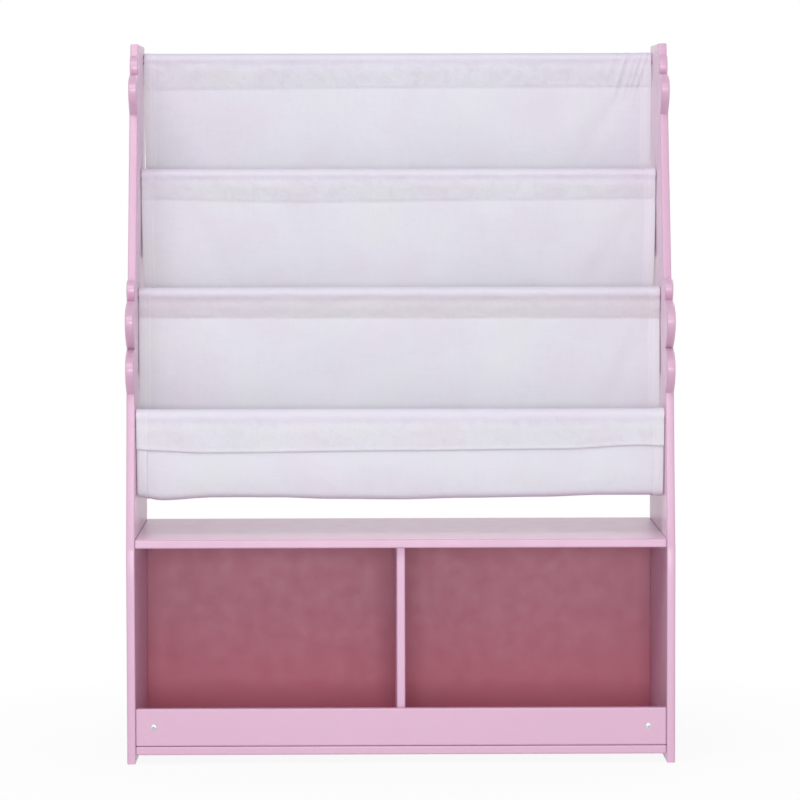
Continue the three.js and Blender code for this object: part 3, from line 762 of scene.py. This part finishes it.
def hanging(rear, front, low):
    """A hanging chain in each column, z = low + a (cosh((y - y0) / a) - 1), from its rear end to its front end
    at lengths s of cloth: y = y0 + a asinh(s / a). Its spread grows with a, so a is found by halving. Books
    that stood in the pocket left a crease along the front of its bottom: at a height t over the lowest line,
    the front half, which reaches w at its top T, reaches w (1 - (1 - q) (1 - t / T)^2) (1 - exp(-t / r))."""
    span = rear[:, 0] - front[:, 0]
    narrow, wide = np.full_like(low, 1e-6), np.full_like(low, 1.0)
    for _ in range(CHAIN_HALVINGS):
        a = (narrow + wide) / 2
        spread = a * np.arccosh(1 + (rear[:, 1] - low) / a) + a * np.arccosh(1 + (front[:, 1] - low) / a)
        narrow, wide = np.where(spread < span, a, narrow), np.where(spread < span, wide, a)
    y0 = rear[:, 0] - wide * np.arccosh(1 + (rear[:, 1] - low) / wide)
    start, end = wide * np.sinh((rear[:, 0] - y0) / wide), wide * np.sinh((front[:, 0] - y0) / wide)
    s = start + (end - start) * HANG_SHARES[:, None]
    rise = np.sqrt(wide**2 + s**2) - wide
    fullness = 1 - (1 - CREASE_PLACE) * (1 - rise / (front[:, 1] - low)) ** 2
    reach = (y0 - front[:, 0]) * fullness * (1 - np.exp(-rise / CREASE_ROUND))
    return np.stack([y0 + np.where(s < 0, -reach, wide * np.arcsinh(s / wide)), low + rise], -1)


def pocket_line(k, share):
    """A strip's line in each column as (row, column, 2), and the first rows of its parts."""
    rear_rod, front_rod = RODS[k], RODS[k + 1]
    drop, next_drop = line_through(share, SEAM_DROPS[k]), line_through(share, SEAM_DROPS[k + 1])
    low = front_rod[1] - POCKET_SAG + CLOTH / 2 + line_through(share, SAGS[k])
    loop, next_loop = casing(rear_rod, drop), casing(front_rod, next_drop)
    seam = beneath(rear_rod, drop)
    turned_in = between(seam + (0, TURN_IN), seam, STEPS["turn"], TURN_CROWDING)
    if k == 2:
        hang = hanging(loop[-1], next_loop[0], low)
        hem = next_loop[-1] + (LAYER, 0)
        turned_up = between(hem + (0, TURN_IN), hem, STEPS["turn"], TURN_CROWDING)[::-1]
        tail = np.concatenate([next_loop[1:], turned_up])
    else:
        behind = next_loop[0] + (LAYER, 0)
        hang = hanging(loop[-1], behind, low)
        upward = unit(next_loop[1] - next_loop[0])
        tail = between(behind, behind + upward * SEAM_LAP, STEPS["lap"])[1:]
    parts = [turned_in, loop, hang[1:], tail]
    firsts = np.cumsum([0] + [len(part) for part in parts])
    line = np.concatenate(parts)
    for _ in range(2):
        line[1:-1] = (line[:-2] + 2 * line[1:-1] + line[2:]) / 4
    return line, firsts


def fold_height(x, z, folds):
    """The sum of soft ridges, h exp(-(d / w)^2) with d the distance from (x, z) to each ridge's stretch, faded
    at the stretch's ends."""
    total = np.zeros_like(x)
    for x1, z1, x2, z2, width, height in np.array(folds) * MM:
        run, rise = x2 - x1, z2 - z1
        t = ((x - x1) * run + (z - z1) * rise) / (run**2 + rise**2)
        near = np.clip(t, 0, 1)
        d = np.hypot(x - x1 - near * run, z - z1 - near * rise)
        fade = 0.35 + 0.65 * np.sin(math.pi * np.clip(t, 0.08, 0.92))
        total += height * np.exp(-((d / width) ** 2)) * fade
    return total


def creases(kind, x, v, strip=0):
    """A sum of plane waves over the cloth, h sin(k x + m v + p), with seeded directions and lengths."""
    seed, waves, *sizes = CREASES[kind]
    longest, shortest, height = (size * MM for size in sizes)
    chance = np.random.default_rng(seed + strip)
    total = np.zeros_like(x)
    for _ in range(waves):
        length = longest * (shortest / longest) ** chance.random()
        turn, phase = chance.random() * math.pi, chance.random() * 2 * math.pi
        k = 2 * math.pi / length
        drift = 0.8 * np.sin(x * 37 + v * 51 + phase * 3)
        total += np.sin(k * (x * math.cos(turn) + v * math.sin(turn)) + phase + drift) * length / longest
    return total * height / math.sqrt(waves)


def slack(below, rod_number, x, v):
    """How far cloth falls in just under a rod: d exp(-((b - p) / w)^2) at b below the rod's top, with d uneven
    along the rod."""
    depth = SLACK_DEPTH * MM + creases("slack", x, 0.3 * v, rod_number)
    return depth * np.exp(-(((below - SLACK_PLACES[rod_number]) / SLACK_WIDTH) ** 2))


def lengths_along(line):
    """The length of cloth from the first row to each row."""
    steps = np.linalg.norm(np.diff(line, axis=0), axis=2)
    return np.concatenate([np.zeros((1, line.shape[1])), np.cumsum(steps, 0)])


def row_at(v, row, past):
    """The fractional row that lies some length of cloth past a row, in the middle column."""
    along = v[:, COLUMNS // 2]
    return float(np.interp(along[row] + past, along, np.arange(len(along))))


def normals_of(points):
    """The unit normal of a (row, column, 3) grid: its direction down the rows cross that over the columns."""
    return unit(np.cross(np.gradient(points, axis=0), np.gradient(points, axis=1)))


def pocket_surface(k):
    """The middle surface of a strip as (row, column, 3), with its lengths, the shares that the cloth's look
    follows and the first rows of its parts."""
    line, firsts = pocket_line(k, (ACROSS / CLOTH_HALF + 1) / 2)
    v = lengths_along(line)
    rows = np.arange(len(line))[:, None]
    seam, hang_end = firsts[2] - 1, firsts[3] - 1
    share = np.clip((v - v[seam]) / (v[hang_end] - v[seam]), 0, 1)
    flat_place = np.broadcast_to(ACROSS, v.shape)
    across = flat_place * (1 - NECKING[k] / CLOTH_HALF * np.sin(math.pi * share) ** 2)
    points = np.stack([across, line[..., 0], line[..., 1]], -1)

    rod_row = firsts[1] + STEPS["side"] + STEPS["arc"] // 2
    lowest = seam + np.argmin(line[seam:hang_end, COLUMNS // 2, 1])
    below_rod = (v - v[rod_row]) / MM
    past_seam, past_lowest = (v - v[seam]) / MM, (v - v[lowest]) / MM
    rear = smooth(rod_row - 2, rod_row + 12, rows) * (1 - smooth(*REAR_END, past_lowest))
    height = fold_height(across, points[..., 2], REAR_FOLDS[k]) * smooth(*FOLDS_START, past_seam)
    height = (height + creases("rear", across, v, k)) * rear
    band = smooth(*BAND_START, below_rod) * (1 - smooth(*BAND_END, past_seam))
    height += band * creases("band", across, v, k)
    gathers = smooth(*GATHERS_START, below_rod) * (1 - smooth(*GATHERS_END, below_rod))
    height += gathers * creases("gathers", across, 0.3 * v, k)
    height -= slack(below_rod, k, across, v)
    # Painted pink light: over each rod and the slack below it, the cloth is tinted as if the pink rod showed
    # through
    on_rod = 1 - smooth(*ROD_ROLL, np.abs(below_rod))
    crumple = 0.3 * rear + BAND_CRUMPLE_AND_SHADE[k] * np.maximum(band, gathers)
    near_seam = np.exp(-((past_seam / SEAM_GROOVE[0]) ** 2)) * rear
    height -= near_seam * SEAM_GROOVE[1] * MM
    height += near_seam * creases("seam", across, 0 * v, k)
    if k == 0:
        reach = smooth(*PLEATS_START, below_rod) * (1 - smooth(*PLEATS_END, past_seam))
        lean = across / MM + PLEAT_LEAN * (below_rod - PLEAT_PIVOT)
        for place, width, rise in PLEATS:
            height += reach * np.exp(-(((lean - place) / width) ** 2)) * rise * MM
    if k == 2:
        front = smooth(*FRONT_START, past_lowest) * (1 - smooth(*FRONT_END, (v - v[hang_end]) / MM))
        height += front * creases("front", across, v)
        height -= front * fold_height(across, points[..., 2], FRONT_FOLDS)
        flap_rod = hang_end + STEPS["side"] + STEPS["arc"] // 2
        flap_hem = hang_end + 2 * STEPS["side"] + STEPS["arc"]
        past_flap_rod, past_hem = (v - v[flap_rod]) / MM, (v - v[flap_hem]) / MM
        flap = smooth(*FLAP_START, past_flap_rod) * (1 - smooth(*FLAP_END, past_hem))
        height += flap * creases("flap", across, v)
        height -= slack(past_flap_rod, 3, across, v)
        # The same painted pink light over the front rod, under the flap
        on_rod = np.maximum(on_rod, 1 - smooth(*ROD_ROLL, np.abs(past_flap_rod)))
        height += np.exp(-(((past_hem + HEM_ROLL_PLACE) / HEM_ROLL[0]) ** 2)) * HEM_ROLL[1] * MM
        crumple += 0.55 * front + 0.8 * flap
    from_edge = (CLOTH_HALF - np.abs(flat_place)) / MM
    hem, stitch = SIDE_HEM / MM, HEM_STITCH / MM
    raised = 1 - smooth(hem - 0.8, hem + 1.0, from_edge)
    height += HEM_RELIEF * (raised - np.exp(-((from_edge - stitch) ** 2))) * MM
    points += normals_of(points) * height[..., None]
    shares = {
        "crumple": np.clip(crumple, 0, 1),
        # Painted pink light over the rods
        "on_rod": on_rod,
        # Painted shade on the third band
        "dulled": band * BAND_PAINTED_SHADE[k],
        # Painted light on the side hems
        "hemmed": 1 - smooth(hem - 0.5, hem + 0.5, from_edge),
    }
    return points, v, shares, firsts


def with_side_hems(points):
    """The surface with its side edges folded behind: a column at c past the edge e lies at 2 e - c, a layer
    behind the cloth. Also gives each column's flat place and the column of the surface that it lies on."""
    excess = np.array(HEM_COLUMNS) * MM
    normal = normals_of(points)
    k = np.searchsorted(ACROSS, excess - CLOTH_HALF, side="right") - 1
    t = ((excess - CLOTH_HALF - ACROSS[k]) / (ACROSS[k + 1] - ACROSS[k]))[None, :, None]
    behind = (LAYER * smooth(0, HEM_FOLD, excess))[None, :, None]
    left = points[:, k] * (1 - t) + points[:, k + 1] * t - normal[:, k] * behind
    right = points[:, -1 - k] * (1 - t) + points[:, -2 - k] * t - normal[:, -1 - k] * behind
    whole = np.concatenate([left[:, ::-1], points, right], 1)
    places = np.concatenate([-CLOTH_HALF - excess[::-1], ACROSS, CLOTH_HALF + excess])
    beside = np.concatenate([k[::-1], np.arange(COLUMNS), COLUMNS - 1 - k])
    return whole, np.broadcast_to(places, whole.shape[:2]), beside


# A stitch, its rings as shares (place along it, radius, height above the cloth), and how a run of stitches is
# measured and aimed
STITCH_PITCH = 3.4 * MM
STITCH_HALF = 1.25 * MM
THREAD_RADIUS = 0.21 * MM
STITCH_RINGS = ((-1, 0.45, -0.9), (-0.55, 1, 0.25), (0.55, 1, 0.25), (1, 0.45, -0.9))
STITCH_SIDES = 6
RUN_SAMPLES = 1200
LOOK_AHEAD = 0.5 * MM


def stitch_run(points, normal, rows, columns):
    """Centres, directions and normals of stitches along a line of (row, column) places on the surface, an even
    pitch apart by length."""
    at = np.linspace(0, 1, RUN_SAMPLES)
    r = np.interp(at, np.linspace(0, 1, len(rows)), rows)
    c = np.interp(at, np.linspace(0, 1, len(columns)), columns)
    i, j = np.minimum(r.astype(int), points.shape[0] - 2), np.minimum(c.astype(int), points.shape[1] - 2)
    s, t = (r - i)[:, None], (c - j)[:, None]

    def sampled(grid):
        first = grid[i, j] * (1 - t) + grid[i, j + 1] * t
        return first * (1 - s) + (grid[i + 1, j] * (1 - t) + grid[i + 1, j + 1] * t) * s

    line, outward = sampled(points), sampled(normal)
    length = np.concatenate([[0], np.cumsum(np.linalg.norm(np.diff(line, axis=0), axis=1))])

    def reached(lengths, values):
        return np.stack([np.interp(lengths, length, values[:, axis]) for axis in range(3)], 1)

    wanted = np.arange(STITCH_PITCH / 2, length[-1], STITCH_PITCH)
    centres = reached(wanted, line)
    return centres, reached(wanted + LOOK_AHEAD, line) - centres, reached(wanted, outward)


def stitches(name, runs):
    """Every stitch as a small capsule that dips into the cloth at both ends: centre + along s + across
    r (cos t, sin t), with r and the height above the cloth falling off towards the ends."""
    centres, ahead, outward = (np.concatenate(part) for part in zip(*runs))
    ahead = unit(ahead)
    outward = unit(outward - ahead * (outward * ahead).sum(1, keepdims=True))
    side = np.cross(ahead, outward)
    places, widths, heights = np.array(STITCH_RINGS).T[:, None, :, None, None]
    s, radius = places * STITCH_HALF, widths * THREAD_RADIUS
    lift = heights * THREAD_RADIUS + CLOTH / 2
    t = around(STITCH_SIDES)[None, None, :, None]
    ahead, outward, side, centres = (a[:, None, None] for a in (ahead, outward, side, centres))
    points = centres + ahead * s + outward * (lift + radius * np.sin(t)) + side * radius * np.cos(t)
    size = len(STITCH_RINGS) * STITCH_SIDES
    firsts = np.arange(len(points))[:, None, None] * size
    quads = np.array(grid_faces(len(STITCH_RINGS), STITCH_SIDES, ring=True))
    faces = (quads[None] + firsts).reshape(-1, 4).tolist()
    caps = np.array([range(STITCH_SIDES)[::-1], range(size - STITCH_SIDES, size)])
    faces += (caps[None] + firsts).reshape(-1, STITCH_SIDES).tolist()
    return solid(name, points, faces, thread, sharp=80)


POCKET_NAMES = ("sling_pocket_top", "sling_pocket_middle", "sling_pocket_front")
STRIP_STEP = 0.6


def pocket(k):
    """One strip of the sling with its hems, thickness and stitching."""
    node = POCKET_NAMES[k]
    points, v, shares, firsts = pocket_surface(k)
    whole, places, beside = with_side_hems(points)
    rows, columns = whole.shape[:2]
    mesh = bpy.data.meshes.new(node + "_canvas")
    mesh.from_pydata(whole.reshape(-1, 3).tolist(), [], grid_faces(rows, columns))
    layer = mesh.uv_layers.new(name="Cloth")
    corners = np.zeros(len(mesh.loops), int)
    mesh.loops.foreach_get("vertex_index", corners)
    flat = np.stack([places, v[:, beside] + k * STRIP_STEP], -1).reshape(-1, 2)
    layer.data.foreach_set("uv", flat[corners].astype(np.float32).ravel())
    for name, share in shares.items():
        attribute = mesh.attributes.new(name, "FLOAT", "POINT")
        attribute.data.foreach_set("value", share[:, beside].astype(np.float32).ravel())
    piece = piece_of(node + "_canvas", mesh, canvas, [node], sharp=120)
    thick = piece.modifiers.new("cloth", "SOLIDIFY")
    thick.thickness = CLOTH
    thick.offset = 0.0

    normal = normals_of(points)
    seam_row = row_at(v, firsts[2] - 1, -SEAM_STITCH)
    back_row = row_at(v, firsts[1], SEAM_STITCH)
    from_middle = np.array([HEM_STITCH, STITCH_MARGIN]) - CLOTH_HALF
    on_hem, near_edge = np.interp(from_middle, ACROSS, np.arange(COLUMNS))
    hem_columns = (on_hem, COLUMNS - 1 - on_hem)
    seam_line = [near_edge, COLUMNS - 1 - near_edge]
    end_row = firsts[3] - 1 if k == 2 else rows - 2
    runs = [stitch_run(points, normal, [row] * 2, seam_line) for row in (seam_row, back_row)]
    if k == 2:
        runs.append(stitch_run(points, -normal, [seam_row] * 2, seam_line))
    folded = points - normal * LAYER
    for column in hem_columns:
        runs.append(stitch_run(points, normal, [firsts[2], end_row], [column] * 2))
        runs.append(stitch_run(folded, -normal, [firsts[2] + 2, end_row], [column] * 2))
    if k == 2:
        hem_row = row_at(v, firsts[3] - 1 + 2 * STEPS["side"] + STEPS["arc"], -FLAP_STITCH)
        runs.append(stitch_run(points, normal, [hem_row] * 2, seam_line))
        runs += [stitch_run(points, normal, [end_row, hem_row], [column] * 2) for column in hem_columns]
    sewn = stitches(node + "_stitches", runs)


# The case


def box_between(node, **moved):
    """A node's corners in metres, with the named ones moved: low_x, high_x and so on."""
    low, high = (np.array(corner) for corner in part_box(node))
    for key, value in moved.items():
        (low if key.startswith("low") else high)["xyz".index(key[-1])] = value
    return low, high


inside = HALF_INNER - JOINT_GAP
side_screws = {"left": [], "right": []}
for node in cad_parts:
    if node.startswith(("rod_screw", "shelf_screw", "bottom_screw")):
        low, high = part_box(node)
        side_screws[node.rsplit("_", 1)[1]].append(((low.y + high.y) / 2, (low.z + high.z) / 2))
side_panel("side_panel_left", -1, side_screws["left"])
side_panel("side_panel_right", 1, side_screws["right"])

for node in ("shelf_board", "bottom_board", "lip_board"):
    eased_board(node, *box_between(node, low_x=-inside, high_x=inside), 0, pink)
upright = {"low_z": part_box("bottom_board")[1].z, "high_z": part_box("shelf_board")[0].z}
eased_board("centre_divider", *box_between("centre_divider", **upright), 2, pink)
for node in ("lip_cleat_left", "lip_cleat_right"):
    eased_board(node, *box_between(node), 2, pink, CLEAT_ROUND)
between_panels = {"low_x": -HALF_INNER, "high_x": HALF_INNER}
# The back board carries the compartments' painted shade in its rose paint
eased_board("back_panel", *box_between("back_panel", **upright, **between_panels), 0, rose_and_shade, BACK_PANEL_ROUND)

for node, (low, high), place in zip(ROD_NAMES, ROD_BOXES, RODS):
    rod(node, low, high, place)

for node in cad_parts:
    outward = -1 if node.endswith("left") else 1
    if node.startswith("lip_screw"):
        screw(node, (0, -1, 0), LIP_SCREW_DOME)
    elif node.startswith("divider_screw"):
        screw(node, (0, 0, -1))
    elif node.startswith("cleat_screw"):
        screw(node, (-outward, 0, 0))
    elif "screw" in node:
        screw(node, (outward, 0, 0))
for node in ("divider_pin_front", "divider_pin_rear"):
    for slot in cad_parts[node].material_slots:
        slot.material = wood

for k in range(3):
    pocket(k)


# The studio


WHITE = (1.0, 1.0, 1.0, 1.0)
SKY = (0.97, 0.98, 1.0, 1.0)
SKY_STRENGTH = 0.49
FLOOR_GREY = (0.9, 0.9, 0.91, 1.0)
FLOOR_HALF = 30.0

# How white the camera sees the floor, under the object and further than so many metres from its middle
SHADOW_REACH = (0.35, 0.8)
WHITE_SHARES = (0.92, 1.0)


def ray_mix(n, plain, white):
    """The second shader for the camera's, glossy and transmission rays, and the first for all other rays."""
    path = n.add("ShaderNodeLightPath").outputs
    seen = n.maths("MAXIMUM", path["Is Camera Ray"], path["Is Glossy Ray"])
    return n.mixed(n.maths("MAXIMUM", seen, path["Is Transmission Ray"]), plain, white)


def studio_floor():
    """A wide pale floor. The camera sees it mostly as white, with the object's shadow kept."""
    n = Finish("studio_floor")
    plain = n.add("ShaderNodeBsdfDiffuse", {"Color": FLOOR_GREY})
    glow = n.add("ShaderNodeEmission", {"Color": WHITE, "Strength": 1.0})
    away = n.add("ShaderNodeVectorMath", {0: n.place()}, operation="LENGTH").outputs["Value"]
    seen = n.mixed(n.spread(away, *SHADOW_REACH, *WHITE_SHARES), plain, glow)
    mesh = bpy.data.meshes.new("studio_floor")
    corners = [(x * FLOOR_HALF, y * FLOOR_HALF, 0) for x, y in ((-1, -1), (1, -1), (1, 1), (-1, 1))]
    mesh.from_pydata(corners, [], [(0, 1, 2, 3)])
    mesh.materials.append(n.done(ray_mix(n, plain, seen)))
    floor = placed("studio_floor", mesh)


def studio_world():
    """A pale even light from all around, which the camera sees as white."""
    n = Finish("studio", "worlds")
    plain = n.add("ShaderNodeBackground", {"Color": SKY, "Strength": SKY_STRENGTH})
    white = n.add("ShaderNodeBackground", {"Color": WHITE, "Strength": 1.0})
    bpy.context.scene.world = n.done(ray_mix(n, plain, white), "ShaderNodeOutputWorld")


def studio_light(name, place, target, size, power):
    """A square soft lamp that faces a point."""
    lamp = bpy.data.lights.new(name, "AREA")
    lamp.size = size
    lamp.energy = power
    light = placed(name, lamp)
    light.location = place
    light.rotation_mode = "QUATERNION"
    light.rotation_quaternion = (Vector(target) - Vector(place)).to_track_quat("-Z", "Y")


def camera(place, yaw, pitch, roll, lens):
    """A camera that looks along (sin yaw cos pitch, cos yaw cos pitch, sin pitch), rolled about that line."""
    forward = Vector((math.sin(yaw) * math.cos(pitch), math.cos(yaw) * math.cos(pitch), math.sin(pitch)))
    level = Vector((math.cos(yaw), -math.sin(yaw), 0))
    up = level.cross(forward)
    right = level * math.cos(roll) + up * math.sin(roll)
    rolled_up = up * math.cos(roll) - level * math.sin(roll)
    lens_data = bpy.data.cameras.new("camera")
    lens_data.sensor_width = 36.0
    lens_data.lens = lens
    lens_data.clip_end = 100.0
    made = placed("camera", lens_data)
    turn = Matrix((right, rolled_up, -forward)).transposed()
    made.matrix_world = Matrix.Translation(place) @ turn.to_4x4()
    bpy.context.scene.camera = made


studio_floor()
studio_world()
studio_light("key", (-0.75, -2.7, 3.2), target=(0, 0, 0.45), size=2.0, power=47.0)
studio_light("fill", (0.0, -7.4, 0.8), target=(0, 0, 0.45), size=1.5, power=150.0)
studio_light("backdrop_glow", (0.5, 2.6, 2.0), target=(0, 0, 0.4), size=1.8, power=5.0)
camera((-0.0460, -4.944, 0.7109), yaw=0.0094376, pitch=-0.0594053, roll=-0.00212464, lens=186.26)
bpy.context.scene.view_settings.view_transform = "Standard"
